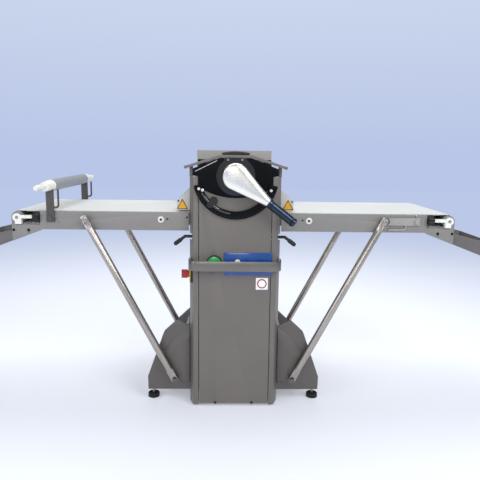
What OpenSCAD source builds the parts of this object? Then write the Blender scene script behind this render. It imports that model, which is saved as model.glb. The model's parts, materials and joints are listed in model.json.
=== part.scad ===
// Dough sheeter with two folding belt tables, a hand lever for the roller gap,
// and a pedestal base. Millimetres, +Z up, +X along the tables, -Y is the operator's
// side. The origin is on the floor, midway between the tables and between the rails.

/* [Tables] */
// Distance over the outer faces of the two side rails
rails_w = 590; // [560:1:700]
// Width of each belt
belt_w = 550; // [500:1:550]
// Distance from the centre line to each end roller
end_x = 1006; // [950:1:1300]
// Distance from the centre line to each drive roller, which is also the fold axis
drive_x = 120; // [116:1:126]
// Height of the top of the belts above the floor
belt_z = 936; // [930:1:945]
// Radius of the drive and end rollers
belt_roller_r = 28; // [26:0.5:30]
// Thickness of the belts
belt_t = 3; // [2:0.5:4]
// Thickness of the rail sheet
rail_t = 3; // [2:0.5:4]
// Height of the side rails
rail_h = 84; // [80:1:96]
// Reach of each catch tray past its end roller
tray_reach = 319; // [250:1:400]

/* [Housings] */
// Width of the front housing's flat face
front_w = 384; // [370:1:400]
// Width of both housings where they meet the side plates
housing_w = 422; // [416:1:424]
// Depth of the front housing
front_d = 49; // [46:1:60]
// Depth of the rear housing
rear_d = 160; // [120:1:200]
// Height of the top of the rear housing
rear_top_z = 1220; // [1215:1:1260]
// Height of the shoulder of the front housing
shoulder_z = 1105; // [1100:1:1110]
// Thickness of the housing sheet
sheet_t = 2; // [1.5:0.5:3]
// Width of the screwed front panel
panel_w = 337; // [320:1:345]
// Thickness of the two side plates
plate_t = 6; // [5:1:8]

/* [Rollers] */
// Radius of the two sheeting rollers
roller_r = 42; // [38:1:44]
// Gap between the sheeting rollers at rest
roller_gap = 40; // [30:1:42]
// Radius of the sheeting rollers' journals
journal_r = 15; // [13:1:17]
// Radial clearance of every turning shaft
running = 0.05; // [0.02:0.01:0.09]

/* [Gap lever] */
// Height of the lever's axis above the floor
hub_z = 1107; // [1100:1:1112]
// Angle of the lever below the horizontal at rest
lever_deg = 37.7; // [35:0.1:45]
// Length from the lever's axis to the end of the grip
lever_l = 336; // [300:1:360]
// Radius of the round head of the lever
head_r = 60; // [50:1:64]
// Radius of the grip
grip_r = 20; // [16:1:22]
// Outer radius of the scale ring
ring_r = 195; // [185:1:200]
// Width of the scale ring
ring_w = 37; // [30:1:40]

/* [Base] */
// Distance from the centre line to each levelling foot
foot_x = 397; // [370:1:400]
// Radius of each foot pad
foot_r = 28; // [24:1:30]
// Distance of the feet from the middle, front to rear
foot_y = 236; // [225:1:255]
// Height of the underside of the side plates
plate_z = 62; // [58:1:70]
// Distance from the centre line to the stud under each strut
stud_x = 283; // [276:1:290]
// Height of the strut studs
stud_z = 121; // [110:1:130]
// Distance from the centre line to the struts' upper bolts
strut_x = 690; // [660:1:720]
// Radius of the strut tubes
strut_r = 17; // [14:1:18]

/* [Rolling pin] */
// Distance from the centre line to the arms that hold the pin
pin_x = 851; // [840:1:860]
// Height of the pin's axis above the floor
pin_z = 1052; // [1040:1:1060]
// Radius of the pin's tube
pin_r = 27; // [22:1:30]
// Length of the pin's tube
pin_l = 566; // [540:1:570]
// Length of each pin handle past the tube
pin_handle_l = 200; // [160:1:230]
// Radius of the white collars that lie on the arms
collar_r = 22; // [18:1:24]

/* [Hidden] */
$fn = 64;
eps = 0.01;
seat = 0.3;
// gap down each side of the front panel
seam = 3;
face_y = rails_w/2;
rail_in_y = face_y - rail_t;
plate_out_y = rail_in_y - 0.5;
plate_in_y = plate_out_y - plate_t;
cover_back_y = face_y + 0.6;
front_y = cover_back_y + front_d;
rear_y = cover_back_y + rear_d;
strut_y = face_y + 23;
arm_y0 = face_y + 3;
arm_t = 5;
belt_r = belt_roller_r + belt_t;
axis_z = belt_z - belt_r;
rail_top_z = belt_z - 2;
rail_bot_z = rail_top_z - rail_h;
lower_z = belt_z + 2 - roller_r;
upper_z = lower_z + 2*roller_r + roller_gap;
rail_x0 = 216;
rail_x1 = end_x - 108;
plate_hw = 165;
guard_axis = [150, 1085];
tray_slope = 21;
pinion_r = 27;
inner_arm_y = plate_in_y - 1.5;
dir_y = -cover_back_y - 15;
dir_z = 826;
motor_z = 190;
arm_pivot_z = axis_z - 3;
strut_z = axis_z - 3;
strut_l = norm([strut_x - stud_x, strut_z - stud_z]);
strut_deg = atan2(strut_z - stud_z, strut_x - stud_x);
knob_x = end_x - 89;
knob_y = face_y + 3;

// ---- helpers ----
// a bar along Y from y0 to y1, drawn as its outline in X and Z
module along_y(y0, y1) {
  translate([0, y1, 0]) rotate([90, 0, 0]) linear_extrude(y1 - y0) children();
}
// a round bar along Y
module rod_y(x, z, r, y0, y1) {
  translate([x, y0, z]) rotate([-90, 0, 0]) cylinder(r = r, h = y1 - y0);
}
// a box from its two corners
module block(a, b) {
  translate(a) cube(b - a);
}
// the same piece at the front and at the rear
module front_and_rear() {
  children();
  mirror([0, 1, 0]) children();
}
// the same piece at the left and at the right
module left_and_right() {
  children();
  mirror([1, 0, 0]) children();
}
// everything of the right table is the left table's mirror image
module as_right() {
  mirror([1, 0, 0]) children();
}

// ---- frame ----
// A-shaped plate: foot, waist and the upright that holds the rollers
// outline of a side plate: drop is how much lower its shoulders are than the front plate's
module plate_outline(drop, throat) {
  left_and_right() polygon([
    [0, plate_z], [-foot_x - 19, plate_z], [-foot_x - 20, plate_z + 67], [-339, 349 - drop],
    [-333, 362 - drop], [-275, 416 - drop], [-212, throat], [-plate_hw, 470],
    [-plate_hw, hub_z + 60], [0, hub_z + 60]]);
}
module front_outline() plate_outline(0, 388);
// the rear plate has lower shoulders
module rear_outline() plate_outline(138, 335);
module side_plates() {
  color([0.66, 0.66, 0.64]) for (rear = [0, 1]) mirror([0, rear, 0]) {
    difference() {
      along_y(-plate_out_y, -plate_in_y) {
        if (rear == 0) front_outline();
        if (rear == 1) rear_outline();
      }
      // bores for the table axes, the lever shaft, the lower roller and the motor
      left_and_right() rod_y(-drive_x, axis_z, 10 + running, -plate_out_y - 1, 1 - plate_in_y);
      rod_y(0, hub_z, 12 + running, -plate_out_y - 1, 1 - plate_in_y);
      rod_y(0, lower_z, 24, -plate_out_y - 1, 1 - plate_in_y);
      rod_y(0, motor_z, 14, -plate_out_y - 1, 1 - plate_in_y);
      // slot in which the carriage of the upper roller slides
      block([-26, -plate_out_y - 1, upper_z - 72], [26, 1 - plate_in_y, upper_z + 28]);
    }
    // studs on which the forked ends of the struts stand
    left_and_right() rod_y(-stud_x, stud_z, 9, -strut_y - 12, -plate_out_y);
    left_and_right() rod_y(-stud_x, stud_z, 13, -strut_y - 15, -strut_y - 12);
  }
  // lugs that carry the direction lever's shaft
  color([0.66, 0.66, 0.64]) left_and_right() difference() {
    block([-126, dir_y - 12, dir_z - 14], [-114, -plate_out_y, dir_z + 14]);
    rod_x(-127, -113, dir_y, dir_z, 7 + running);
  }
}
module tie_bars() {
  color([0.55, 0.55, 0.56])
    for (p = [[-375, 110], [375, 110], [-250, 250], [250, 250], [0, 720]])
      rod_y(p[0], p[1], 14, -plate_in_y, plate_in_y);
}
module base_pan() {
  color([0.5, 0.5, 0.5]) {
    block([-330, -plate_in_y, plate_z], [330, plate_in_y, plate_z + 3]);
    // angle feet of the motor plate
    block([-150, -120, plate_z + 3], [150, -90, plate_z + 33]);
    block([-150, 90, plate_z + 3], [150, 120, plate_z + 33]);
  }
}
// small box under each corner, welded inside the side plate, that takes a foot
module foot_brackets() {
  color([0.6, 0.6, 0.58]) left_and_right() front_and_rear() difference() {
    block([-foot_x - 18, -plate_in_y, 70], [-foot_x + 22, -foot_y + 22, 76]);
    rod_z(-foot_x, -foot_y, 6, 60, 80);
  }
}
module rod_z(x, y, r, z0, z1) {
  translate([x, y, z0]) cylinder(r = r, h = z1 - z0);
}
module foot_pads() {
  color([0.07, 0.07, 0.07]) left_and_right() front_and_rear()
    translate([-foot_x, -foot_y, 0]) rotate_extrude()
      polygon([[0, 0], [foot_r, 0], [foot_r, 19], [foot_r - 2, 21], [foot_r - 7, 21],
        [foot_r - 9, 12], [12, 12], [12, 20], [0, 20]]);
}
module foot_studs() {
  color([0.75, 0.75, 0.77]) left_and_right() front_and_rear() {
    rod_z(-foot_x, -foot_y, 6, 20, 96);
    translate([-foot_x, -foot_y, 61]) cylinder(r = 11, h = 9, $fn = 6);
    translate([-foot_x, -foot_y, 76]) cylinder(r = 11, h = 9, $fn = 6);
  }
}
// pressed cover on the foot of each side plate: x, z and how far each corner stands out
belly_corners = [
  [-213.5, 381, 0], [-288, 322, 0], [-352, 250, 0], [-256, 98, 0], [-213.5, 98, 0],
  [-213.5, 334, 11], [-276, 286, 18], [-318, 236, 14], [-242, 106, 12], [-213.5, 104, 9]];
module belly_solid() {
  hull() for (p = belly_corners)
    translate([p[0], -plate_out_y - p[2] - 0.5, p[1]]) cube([0.5, 0.5, 0.5]);
}
module belly_covers() {
  color([0.64, 0.64, 0.62]) for (rear = [0, 1]) mirror([0, rear, 0]) left_and_right() intersection() {
    belly_solid();
    along_y(-400, -plate_out_y) {
      if (rear == 0) front_outline();
      if (rear == 1) rear_outline();
    }
  }
}

// ---- front housing ----
// plan of the housing: flat face, flared sides
module housing_plan(inset) {
  polygon([
    [-front_w/2 + inset, -front_y + inset], [front_w/2 - inset, -front_y + inset],
    [housing_w/2 - inset, -cover_back_y], [-housing_w/2 + inset, -cover_back_y]]);
}
module front_cover() {
  color([0.67, 0.67, 0.65]) difference() {
    translate([0, 0, 8]) linear_extrude(shoulder_z - 8) housing_plan(0);
    translate([0, 0, 7]) linear_extrude(shoulder_z) difference() {
      housing_plan(sheet_t);
      translate([-panel_w/2 - 13, -front_y]) square([13, front_d - 4]);
      translate([panel_w/2, -front_y]) square([13, front_d - 4]);
    }
    // opening that the front panel closes
    block([-panel_w/2, -front_y - 1, 7], [panel_w/2, -front_y + 6, shoulder_z + 1]);
    // side openings for the direction lever
    left_and_right() block([-250, -cover_back_y - 30, 812], [-150, -cover_back_y + 1, 840]);
    // bore for the lever shaft
    rod_y(0, hub_z, 14, -front_y - 1, -cover_back_y + 1);
  }
  // tabs screwed to the foot of the side plate
  color([0.67, 0.67, 0.65]) left_and_right()
    block([-housing_w/2 + 2, -cover_back_y - 1, 90], [-housing_w/2 + 13, -plate_out_y, 340]);
}
module front_panel() {
  color([0.68, 0.68, 0.66]) difference() {
    union() {
      block([-panel_w/2 + seam, -front_y - 0.4, 14], [panel_w/2 - seam, -front_y + 1.6, shoulder_z - 60]);
      // inner stiffeners that seat on the side plate
      left_and_right() block([-panel_w/2 + seam, -front_y + 1.6, 14],
        [-panel_w/2 + seam + 2, -plate_out_y, shoulder_z - 60]);
    }
    // the rails of a folded table pass behind the panel
    block([-200, -cover_back_y, 800], [200, 0, shoulder_z]);
    // bores for the start button, the screws and the direction lever
    rod_y(-95, 708, 16.05, -front_y - 9, -front_y + 9);
    left_and_right() rod_y(-88, 18, 3, -front_y - 9, -front_y + 9);
    left_and_right() block([-250, -cover_back_y - 30, 812], [-150, -cover_back_y + 9, 840]);
    rod_y(0, hub_z, 14, -front_y - 9, -cover_back_y + 1);
  }
}
module front_screws() {
  color([0.15, 0.15, 0.15]) left_and_right() {
    rod_y(-88, 18, 2.9, -front_y - 0.4, -front_y + 6);
    rod_y(-88, 18, 6, -front_y - 3.4, -front_y - 0.4);
  }
}
// roof outline: flat in the middle, sloping to both eaves
roof_flat = 72;
roof_eave = 226;
roof_top = hub_z + 95;
module roof_outline(lift, edge) {
  polygon([
    [-roof_eave - edge, roof_top - 50 + lift], [-roof_flat, roof_top + lift],
    [roof_flat, roof_top + lift], [roof_eave + edge, roof_top - 50 + lift],
    [roof_eave + edge, roof_top - 62 + lift], [roof_flat, roof_top - 12 + lift],
    [-roof_flat, roof_top - 12 + lift], [-roof_eave - edge, roof_top - 62 + lift]]);
}
module front_roof() {
  color([0.7, 0.7, 0.68]) {
    along_y(-front_y - 12, -cover_back_y) roof_outline(0, 0);
    // rolled eaves
    left_and_right() rod_y(-roof_eave, roof_top - 56, 7, -front_y - 12, -cover_back_y);
    // side cheeks from the shoulder to the underside of the roof
    left_and_right() difference() {
      along_y(-cover_back_y - 18, -cover_back_y)
        polygon([[-211, shoulder_z], [-196, shoulder_z], [-196, 1149], [-211, 1144.2]]);
      block([-220, -cover_back_y - 19, shoulder_z + 1], [-196, -cover_back_y - 17, 1139]);
    }
  }
}
module roof_cap() {
  color([0.05, 0.05, 0.05]) translate([0, -front_y + 26, roof_top]) intersection() {
    rotate_extrude() polygon([[0, 0], [60, 0], [66, 6], [62, 10], [44, 14], [20, 16.5], [0, 17]]);
    translate([-66, -30, 0]) cube([132, 52, 17]);
  }
}
module control_plate() {
  color([0.03, 0.03, 0.035]) difference() {
    along_y(-front_y - 5, -front_y - 1) intersection() {
      polygon([[-194, 1140], [-194, 1108], [-170, 1106], [-170, 1000], [170, 1000],
        [170, 1106], [194, 1108], [194, 1140], [71, roof_top - 13], [-71, roof_top - 13]]);
      union() {
        translate([0, 1322]) circle(r = 313, $fn = 128);
        translate([-200, 1058]) square([400, 160]);
      }
    }
    rod_y(0, hub_z, 12 + running, -front_y - 9, -front_y + 9);
  }
  // posts that carry the plate from the side plate
  color([0.03, 0.03, 0.035]) for (x = [-130, 130])
    rod_y(x, 1140, 8, -front_y - 1, -plate_out_y);
}
// lower half of a ring round the lever's axis, with a slot for the limiter
module ring_outline() {
  difference() {
    circle(r = ring_r, $fn = 160);
    circle(r = ring_r - ring_w, $fn = 160);
    polygon([[-300, 300], [-300, -70], [0, 0], [300, -70], [300, 300]]);
  }
}
module scale_ring() {
  color([0.05, 0.05, 0.05]) along_y(-front_y - 12, -front_y - 7) translate([0, hub_z]) difference() {
    ring_outline();
    // slot along which the limiter is set
    difference() {
      circle(r = ring_r - 21, $fn = 120);
      circle(r = ring_r - 29, $fn = 120);
      polygon([[-300, 300], [-300, -120], [0, 0], [-40, -300], [300, -300], [300, 300]]);
    }
  }
  // lugs that hold the ring in front of the front panel
  color([0.05, 0.05, 0.05]) for (a = [205, 335])
    translate([0, 0, hub_z]) rotate([0, -a, 0])
      translate([ring_r - 18, -front_y - 7, 0]) rotate([-90, 0, 0]) cylinder(r = 7, h = 6.6);
}
module ring_bolts() {
  color([0.85, 0.85, 0.87]) for (p = [[-166, -57], [-149, -62], [160, -62]])
    rod_y(p[0], hub_z + p[1], 6.5, -front_y - 17, -front_y - 12);
}
module lamp_plate() {
  color([0.05, 0.2, 0.6]) block([-52, -front_y - 3.4, 650], [172, -front_y - 0.4, 757]);
}
module switch_base() {
  color([0.9, 0.8, 0.1]) difference() {
    block([-housing_w/2, -front_y + 10, 611], [-190, -front_y + 40, 689]);
    linear_extrude(shoulder_z) housing_plan(-seat);
  }
}
module switch_handle() {
  color([0.8, 0.08, 0.06]) translate([0, -front_y + 25, 650]) {
    rotate([0, -90, 0]) translate([0, 0, housing_w/2 + seat]) {
      cylinder(r = 16, h = 9);
      translate([0, 0, 9]) intersection() {
        cylinder(r = 20, h = 28);
        translate([-30, -6, 0]) cube([60, 12, 28]);
      }
    }
  }
}

// ---- rear housing and top cover ----
module rear_housing() {
  color([0.66, 0.66, 0.64]) difference() {
    block([-housing_w/2 + 1, cover_back_y, 140], [housing_w/2 - 1, rear_y, rear_top_z]);
    block([-housing_w/2 + 3, cover_back_y - 1, 142], [housing_w/2 - 3, rear_y - 2, rear_top_z - 2]);
    // cooling slots low in the back
    for (i = [0:7]) block([-80, rear_y - 3, 220 + 18*i], [80, rear_y + 1, 226 + 18*i]);
  }
  // front wall above the side plate, and the gland for the mains lead
  color([0.66, 0.66, 0.64]) {
    block([-housing_w/2 + 2, cover_back_y, hub_z + 62], [housing_w/2 - 2, cover_back_y + 2, rear_top_z - 1]);
    rod_y(120, 172, 12, rear_y - 1, rear_y + 14);
    translate([120, rear_y + 5, 172]) rotate([90, 0, 0]) cylinder(r = 16, h = 6, $fn = 6);
  }
  // posts that carry the housing from the side plate
  color([0.66, 0.66, 0.64]) for (x = [-150, 150], z = [520, 1150])
    rod_y(x, z, 8, plate_out_y, rear_y - 2);
}
module top_cover() {
  color([0.7, 0.7, 0.68]) {
    block([-138, -plate_in_y, 1150], [138, plate_in_y, 1152]);
    left_and_right() block([-140, -plate_in_y, 1100], [-138, plate_in_y, 1152]);
    // hinge lugs of the two guards
    left_and_right() for (y = [-plate_in_y, plate_in_y - 12]) difference() {
      block([-guard_axis[0] - 8, y, guard_axis[1] - 8], [-138, y + 12, guard_axis[1] + 30]);
      rod_y(-guard_axis[0], guard_axis[1], 4 + running, y - 1, y + 13);
    }
  }
}

// ---- rollers ----
module roller_bearings() {
  color([0.45, 0.46, 0.48]) front_and_rear() difference() {
    union() {
      rod_y(0, lower_z, 23.8, -plate_out_y, -plate_in_y);
      rod_y(0, lower_z, 34, -plate_in_y, -plate_in_y + 8);
    }
    rod_y(0, lower_z, journal_r + running, -plate_out_y - 1, -plate_in_y + 9);
  }
}
module lower_roller() {
  color([0.86, 0.87, 0.88]) {
    rod_y(0, lower_z, roller_r, -plate_in_y + 12, plate_in_y - 12);
    rod_y(0, lower_z, journal_r, -plate_out_y - 2, plate_out_y + 60);
    rod_y(0, lower_z, 40, plate_out_y + 30, plate_out_y + 50);
  }
}
module upper_roller() {
  color([0.86, 0.87, 0.88]) {
    rod_y(0, upper_z, roller_r, -plate_in_y + 16, plate_in_y - 16);
    rod_y(0, upper_z, journal_r, -plate_in_y + 0.5, plate_in_y - 0.5);
    rod_y(0, upper_z, 11, plate_in_y - 1, plate_out_y + 28);
    rod_y(0, upper_z, 36, plate_out_y + 8, plate_out_y + 26);
  }
}
// two bearing blocks in the slots of the side plates, each with a toothed rack
module roller_carriage() {
  color([0.4, 0.41, 0.43]) front_and_rear() {
    difference() {
      union() {
        block([-25.7, -plate_out_y, upper_z - 30], [25.7, -plate_in_y, upper_z + 27]);
        block([-34, -plate_in_y + 0.5, upper_z - 30], [34, -plate_in_y + 14, upper_z + 30]);
      }
      rod_y(0, upper_z, journal_r + running, -plate_out_y - 1, -plate_in_y + 15);
    }
    // rack beside the pinion
    difference() {
      block([pinion_r + 3, -plate_in_y + 0.5, upper_z + 29], [pinion_r + 12, -plate_in_y + 12, 1146]);
      for (i = [0:7])
        block([pinion_r + 2, -plate_in_y, hub_z - 34 + 9*i],
        [pinion_r + 5, -plate_in_y + 13, hub_z - 30 + 9*i]);
    }
  }
}

// ---- gap lever ----
// a toothed wheel for the racks, drawn in X and Z
module pinion_outline() {
  union() {
    circle(r = pinion_r - 3, $fn = 48);
    for (i = [0:17]) rotate(i*20 + 4) translate([pinion_r - 4, -1.6]) square([4.5, 3.2]);
  }
}
module lever_shaft() {
  color([0.7, 0.7, 0.72]) {
    rod_y(0, hub_z, 12, -front_y - 40, plate_out_y + 4);
    for (y = [-plate_in_y + 1, plate_in_y - 11])
      along_y(y, y + 10) translate([0, hub_z]) pinion_outline();
  }
}
// puts a drawing whose X runs down the lever's arm into the lever's own plane
module on_lever() {
  translate([0, 0, hub_z]) rotate([0, lever_deg, 0]) children();
}
lever_y = front_y + 60;
module gap_lever() {
  color([0.85, 0.86, 0.88]) difference() {
    union() {
      // teardrop shell, from the round head to the neck
      on_lever() hull() {
        translate([0, -lever_y - 22, 0]) rotate([-90, 0, 0]) cylinder(r = head_r - 12, h = 4, $fn = 64);
        translate([0, -lever_y - 12, 0]) rotate([-90, 0, 0]) cylinder(r = head_r, h = 34, $fn = 64);
        translate([178, -lever_y, 0]) rotate([0, 90, 0]) cylinder(r = grip_r + 1, h = 6, $fn = 48);
      }
      // boss behind the shell
      rod_y(0, hub_z, 28, -lever_y + 22, -front_y - 13);
    }
    rod_y(0, hub_z, 12, -front_y - 40 - eps, -front_y);
  }
}
module lever_grip() {
  color([0.8, 0.82, 0.85]) on_lever() translate([0, -lever_y, 0]) rotate([0, 90, 0]) {
    translate([0, 0, 184]) cylinder(r = grip_r + 2, h = 16);
    translate([0, 0, 200]) cylinder(r = grip_r, h = lever_l - 210);
    translate([0, 0, lever_l - 10]) rotate_extrude()
      polygon([[0, 0], [grip_r + 1, 0], [grip_r + 1, 6], [grip_r - 4, 10], [0, 10]]);
  }
}
limit_deg = 228;
limit_r = ring_r - 25;
module limiter() {
  color([0.04, 0.04, 0.04]) translate([0, 0, hub_z]) rotate([0, -limit_deg, 0]) {
    translate([limit_r, -front_y - 34, 0]) rotate([-90, 0, 0]) {
      cylinder(r = 15, h = 14);
      translate([0, 0, 14]) cylinder(r = 10, h = 7.7);
      translate([0, 0, 21.7]) cylinder(r = 2.8, h = 6);
      // round knob on the inner side of the ring
      translate([-22, 0, 0]) cylinder(r = 19, h = 14);
    }
  }
}

// ---- controls on the front housing ----
module stop_bar() {
  color([0.6, 0.61, 0.62]) {
    translate([0, 0, 678]) linear_extrude(46)
      polygon(concat(bar_path(0, 1), bar_path(3, -1)));
  }
}
// one face of the bent bar from above, left to right or back, with round front corners
function bar_corner(half, bend, nose, way, a) =
  [way*(-half + bend - bend*cos(a)), nose + bend - bend*sin(a)];
function bar_path(grow, way) =
  let (half = housing_w/2 + seat + grow, bend = 38 + grow, nose = -front_y - 47 - grow) concat(
    [[-way*half, -cover_back_y - 6]],
    [for (a = [0:10:90]) bar_corner(half, bend, nose, way, a)],
    [for (a = [90:-10:0]) bar_corner(half, bend, nose, -way, a)],
    [[way*half, -cover_back_y - 6]]);
module start_button() {
  color([0.05, 0.6, 0.25]) {
    rod_y(-95, 708, 31, -front_y - 16, -front_y - 8);
    rod_y(-95, 708, 16, -front_y - 8, -front_y + 12);
  }
}
module direction_lever() {
  color([0.04, 0.04, 0.04]) left_and_right() {
    rod_x(-232, 0.1, dir_y, dir_z, 7);
    translate([-232, dir_y, dir_z]) sphere(r = 7);
    translate([-232, dir_y, dir_z]) rotate([0, -128, 0]) cylinder(r = 7, h = 48);
    translate([-232, dir_y, dir_z]) rotate([0, -128, 0]) translate([0, 0, 24]) {
      cylinder(r = 10, h = 31);
      translate([0, 0, 31]) sphere(r = 10);
    }
  }
}
// a round bar along X
module rod_x(x0, x1, y, z, r) {
  translate([x0, y, z]) rotate([0, 90, 0]) cylinder(r = r, h = x1 - x0);
}

// ---- guards ----
// side outline: down from the hinge, out at a slant, then straight down to the belt
module guard_outline(t) {
  polygon([
    [-guard_axis[0] - 6, guard_axis[1] + 6], [-272, 991], [-272, belt_z + 9],
    [-272 + t, belt_z + 9], [-272 + t, 991 + 0.4*t], [-guard_axis[0] - 6, guard_axis[1] + 6 - 1.5*t]]);
}
module guard() {
  color([0.8, 0.8, 0.78]) difference() {
    union() {
      along_y(-plate_in_y + 1, plate_in_y - 1) guard_outline(3);
      // end plates
      for (y = [-plate_in_y + 1, plate_in_y - 4]) along_y(y, y + 3)
        polygon([[-guard_axis[0] - 6, guard_axis[1] + 6], [-272, 991], [-272, belt_z + 9],
          [-200, belt_z + 9], [-guard_axis[0] - 6, guard_axis[1] - 20]]);
      rod_y(-guard_axis[0] , guard_axis[1], 4, -plate_in_y + 0.5, plate_in_y - 0.5);
      rod_y(-guard_axis[0], guard_axis[1], 7, -plate_in_y + 13, plate_in_y - 13);
    }
    // finger slots in the slanted face
    for (i = [0:10]) block([-262, -260 + 48*i, 960], [-170, -220 + 48*i, 1052]);
    // room for the hinge lugs
    front_and_rear() difference() {
      rod_y(-guard_axis[0], guard_axis[1], 34, -plate_in_y, -plate_in_y + 13);
      rod_y(-guard_axis[0], guard_axis[1], 4, -plate_in_y, -plate_in_y + 13);
    }
  }
}
module left_guard() { guard(); }
module right_guard() { as_right() guard(); }

// ---- drive ----
module motor() {
  color([0.25, 0.3, 0.38]) {
    rod_y(0, motor_z, 72, -130, 130);
    block([-150, -120, plate_z + 33], [150, 120, plate_z + 45]);
    block([-60, -100, plate_z + 45], [60, 100, 140]);
  }
}
module drive_sprocket() {
  color([0.5, 0.5, 0.52]) difference() {
    union() {
      rod_y(0, motor_z, 12, 130.2, plate_out_y + 60);
      rod_y(0, motor_z, 36, plate_out_y + 30, plate_out_y + 50);
    }
  }
}
// closed run of chain round the two sprockets
module drive_chain() {
  color([0.3, 0.3, 0.3]) along_y(plate_out_y + 36, plate_out_y + 44) difference() {
    hull() {
      translate([0, motor_z]) circle(r = 42);
      translate([0, lower_z]) circle(r = 46);
    }
    hull() {
      translate([0, motor_z]) circle(r = 36.5);
      translate([0, lower_z]) circle(r = 40.5);
    }
  }
}

// ---- tables, drawn as the left one ----
module rail_holes(y0) {
  // bores in the rail for the arm pivots and the strut bolts
  rod_y(-pin_x, arm_pivot_z, 6 + running, y0 - 9, y0 + 9);
  rod_y(-strut_x, strut_z, 8 + running, y0 - 9, y0 + 9);
}
module table_frame() {
  color([0.58, 0.58, 0.57]) {
    front_and_rear() {
      difference() {
        union() {
          block([-rail_x1, -face_y, rail_bot_z], [-rail_x0, -rail_in_y, rail_top_z]);
          block([-rail_x1, -face_y, rail_bot_z], [-rail_x0, -rail_in_y + 10, rail_bot_z + 3]);
          block([-rail_x1, -face_y, rail_top_z - 3], [-265, -belt_w/2 - 2, rail_top_z]);
          // nose plate round the end roller
          along_y(-face_y, -rail_in_y) nose_outline();
        }
        rail_holes(-face_y);
        rod_y(-end_x, axis_z, 9, -face_y - 1, 1 - rail_in_y);
        rod_y(-tray_bolt[0], tray_bolt[1], 4 + running, -face_y - 1, 1 - rail_in_y);
      }
      // inner arm that carries the drive roller, spaced from the rail
      difference() {
        union() {
          block([-330, -inner_arm_y, axis_z - 24], [-drive_x, -inner_arm_y + 4, axis_z + 18]);
          rod_y(-drive_x, axis_z, 24, -inner_arm_y, -inner_arm_y + 4);
        }
        rod_y(-drive_x, axis_z, 10 + running, -inner_arm_y - 1, -inner_arm_y + 5);
      }
      block([-325, -rail_in_y, axis_z - 22], [-262, -inner_arm_y, axis_z + 12]);
    }
    // cross bars between the rails
    for (x = [300, 560, 820]) block([-x - 15, -rail_in_y + (x < 310 ? 13 : 0), axis_z - 16],
      [-x + 15, rail_in_y - (x < 310 ? 13 : 0), axis_z + 14]);
  }
}
// outline of the nose plate: hook over the roller and web down to the tray
module nose_outline() {
  difference() {
    union() {
      translate([-end_x, axis_z]) circle(r = 27, $fn = 96);
      polygon([[-end_x - 27, axis_z], [-end_x - 27, rail_bot_z - 3], [-end_x - 27, tray_z(end_x + 27)],
        [-rail_x1, tray_z(rail_x1)], [-rail_x1, rail_top_z], [-rail_x1 - 4, rail_top_z],
        [-rail_x1 - 4, axis_z - 33], [-end_x + 16, axis_z - 33], [-end_x, axis_z - 22]]);
    }
    // room for the white slide and its ring
    translate([-end_x, axis_z]) circle(r = 20, $fn = 64);
    translate([-end_x - 9, axis_z - 33]) square([81, 31]);
    translate([-end_x + 2, axis_z - 5]) square([70, 16]);
  }
}
// height of the slanted lower edge at a distance from the centre line
function tray_z(x) = rail_bot_z - 4 - (x - rail_x1)*tan(tray_slope);
module table_bed() {
  color([0.8, 0.8, 0.78])
    block([-end_x + 40, -belt_w/2, belt_z - belt_t - seat - 2],
      [-drive_x - 36, belt_w/2, belt_z - belt_t - seat]);
  // ledges that stand on the cross bars
  color([0.8, 0.8, 0.78]) for (x = [300, 560, 820])
    block([-x - 12, -200, axis_z + 14], [-x + 12, 200, belt_z - belt_t - seat - 2]);
}
module table_belt() {
  color([0.95, 0.94, 0.9]) along_y(-belt_w/2, belt_w/2) difference() {
    union() {
      translate([-end_x, axis_z]) circle(r = belt_r, $fn = 96);
      translate([-drive_x, axis_z]) circle(r = belt_r, $fn = 96);
      translate([-end_x, axis_z - belt_r]) square([end_x - drive_x, 2*belt_r]);
    }
    translate([-end_x, axis_z]) circle(r = belt_r - belt_t + seat, $fn = 96);
    translate([-drive_x, axis_z]) circle(r = belt_r - belt_t + seat, $fn = 96);
    translate([-end_x, axis_z - belt_r + belt_t - seat])
      square([end_x - drive_x, 2*(belt_r - belt_t + seat)]);
  }
}
module end_roller() {
  color([0.8, 0.81, 0.83]) {
    rod_y(-end_x, axis_z, belt_roller_r, -belt_w/2 - 2, belt_w/2 + 2);
    rod_y(-end_x, axis_z, 8, -face_y - 4, face_y + 4);
  }
}
module drive_roller() {
  color([0.8, 0.81, 0.83]) {
    rod_y(-drive_x, axis_z, belt_roller_r, -belt_w/2 - 2, belt_w/2 + 2);
    rod_y(-drive_x, axis_z, 10, -plate_out_y - 2, plate_out_y + 2);
  }
}
// white plastic slide with a ring round the end roller's shaft and a foot
module tension_slides() {
  color([0.95, 0.95, 0.93]) front_and_rear() difference() {
    along_y(-face_y - 10, -rail_in_y + 9) union() {
      translate([-end_x, axis_z]) circle(r = 19, $fn = 64);
      translate([-end_x, axis_z - 4]) square([70, 14]);
      translate([-end_x - 8, axis_z - 30]) square([28, 26]);
    }
    rod_y(-end_x, axis_z, 8 + running, -face_y - 11, -rail_in_y + 10);
    translate([-end_x + 50, -knob_y, axis_z + 3]) rotate([0, 90, 0]) cylinder(r = 3, h = 30);
  }
}
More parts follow.
